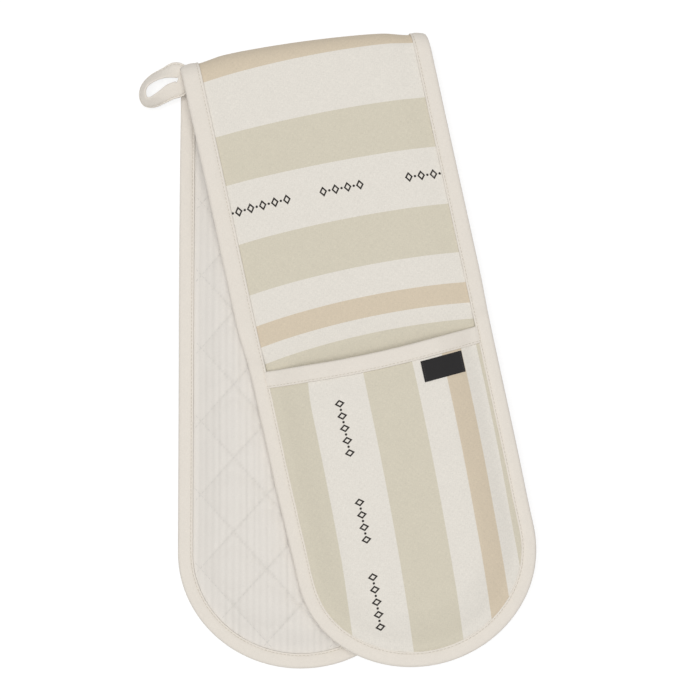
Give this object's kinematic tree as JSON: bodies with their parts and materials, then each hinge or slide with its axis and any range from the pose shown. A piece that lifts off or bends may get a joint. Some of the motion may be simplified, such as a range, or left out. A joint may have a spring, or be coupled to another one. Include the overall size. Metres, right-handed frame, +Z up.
{
  "type": "double oven glove",
  "caption": "Folded double oven glove: one long quilted strip with a rounded, padded hand pocket at each end, bound edges and a hanging loop.",
  "frame": {"origin": "on the table, under the middle of the folded glove's outline", "axes": "+X to the right across the glove, +Y from the pockets to the fold, +Z up from the table through the layers"},
  "size_m": [0.2892, 0.4624, 0.0463],
  "materials": {
    "printed_cloth": "matt woven cotton, printed with beige, tan and white stripes",
    "binding_tape": "matt cotton binding tape, cream",
    "quilted_lining": "white fine-ribbed cotton, quilted in diamonds",
    "wadding": "white fibre wadding",
    "woven_label": "plain black woven ribbon"
  },
  "bodies": {
    "rear_pocket": {"rear_pocket_shell": "printed_cloth", "rear_pocket_wadding": "wadding", "rear_pocket_lining": "quilted_lining", "rear_pocket_mouth_binding": "binding_tape"},
    "back_half": {"back_shell": "printed_cloth", "back_wadding": "wadding", "back_lining": "quilted_lining", "back_binding": "binding_tape", "rear_pocket_seam": "printed_cloth"},
    "fold_back": {"fold_back_shell": "printed_cloth", "fold_back_wadding": "wadding", "fold_back_lining": "quilted_lining", "fold_back_left_binding": "binding_tape", "fold_back_right_binding": "binding_tape"},
    "fold_middle": {"fold_middle_shell": "printed_cloth", "fold_middle_wadding": "wadding", "fold_middle_lining": "quilted_lining", "fold_middle_left_binding": "binding_tape", "fold_middle_right_binding": "binding_tape"},
    "fold_front": {"fold_front_shell": "printed_cloth", "fold_front_wadding": "wadding", "fold_front_lining": "quilted_lining", "fold_front_left_binding": "binding_tape", "fold_front_right_binding": "binding_tape"},
    "front_half": {"front_shell": "printed_cloth", "front_wadding": "wadding", "front_lining": "quilted_lining", "front_binding": "binding_tape", "front_pocket_seam": "printed_cloth"},
    "front_pocket": {"front_pocket_shell": "printed_cloth", "front_pocket_wadding": "wadding", "front_pocket_lining": "quilted_lining", "front_pocket_mouth_binding": "binding_tape", "woven_label": "woven_label"},
    "hanging_loop": {"hanging_loop": "binding_tape"}
  },
  "joints": [
    {"name": "rear_mouth", "type": "hinge", "parent": "rear_pocket", "child": "back_half", "pos_m": [-0.02614, -0.22027, 0.0052], "axis": [1, 0, 0], "range_deg": [0, 10]},
    {"name": "fold_hinge_1", "type": "hinge", "parent": "back_half", "child": "fold_back", "pos_m": [-0.02418, 0.21292, 0.00118], "axis": [-0.9943, -0.1063, 0], "range_deg": [0, 44]},
    {"name": "fold_hinge_2", "type": "hinge", "parent": "fold_back", "child": "fold_middle", "pos_m": [-0.02508, 0.22126, 0.00957], "axis": [-0.9943, -0.1063, 0], "range_deg": [0, 44]},
    {"name": "fold_hinge_3", "type": "hinge", "parent": "fold_middle", "child": "fold_front", "pos_m": [-0.02508, 0.22126, 0.02143], "axis": [-0.9943, -0.1063, 0], "range_deg": [0, 44]},
    {"name": "fold_hinge_4", "type": "hinge", "parent": "fold_front", "child": "front_half", "pos_m": [-0.02418, 0.21292, 0.02982], "axis": [-0.9943, -0.1063, 0], "range_deg": [0, 44]},
    {"name": "front_mouth", "type": "hinge", "parent": "front_half", "child": "front_pocket", "pos_m": [0.07067, -0.21652, 0.0321], "axis": [0.9774, 0.2113, 0], "range_deg": [0, 10]},
    {"name": "loop_swing", "type": "hinge", "parent": "fold_middle", "child": "hanging_loop", "pos_m": [-0.11495, 0.2129, 0.0205], "axis": [0, 1, 0], "range_deg": [0, 60]}
  ],
  "couplings": [
    {"joint": "fold_hinge_2", "follows": "fold_hinge_1", "ratio": 1},
    {"joint": "fold_hinge_3", "follows": "fold_hinge_1", "ratio": 1},
    {"joint": "fold_hinge_4", "follows": "fold_hinge_1", "ratio": 1}
  ]
}
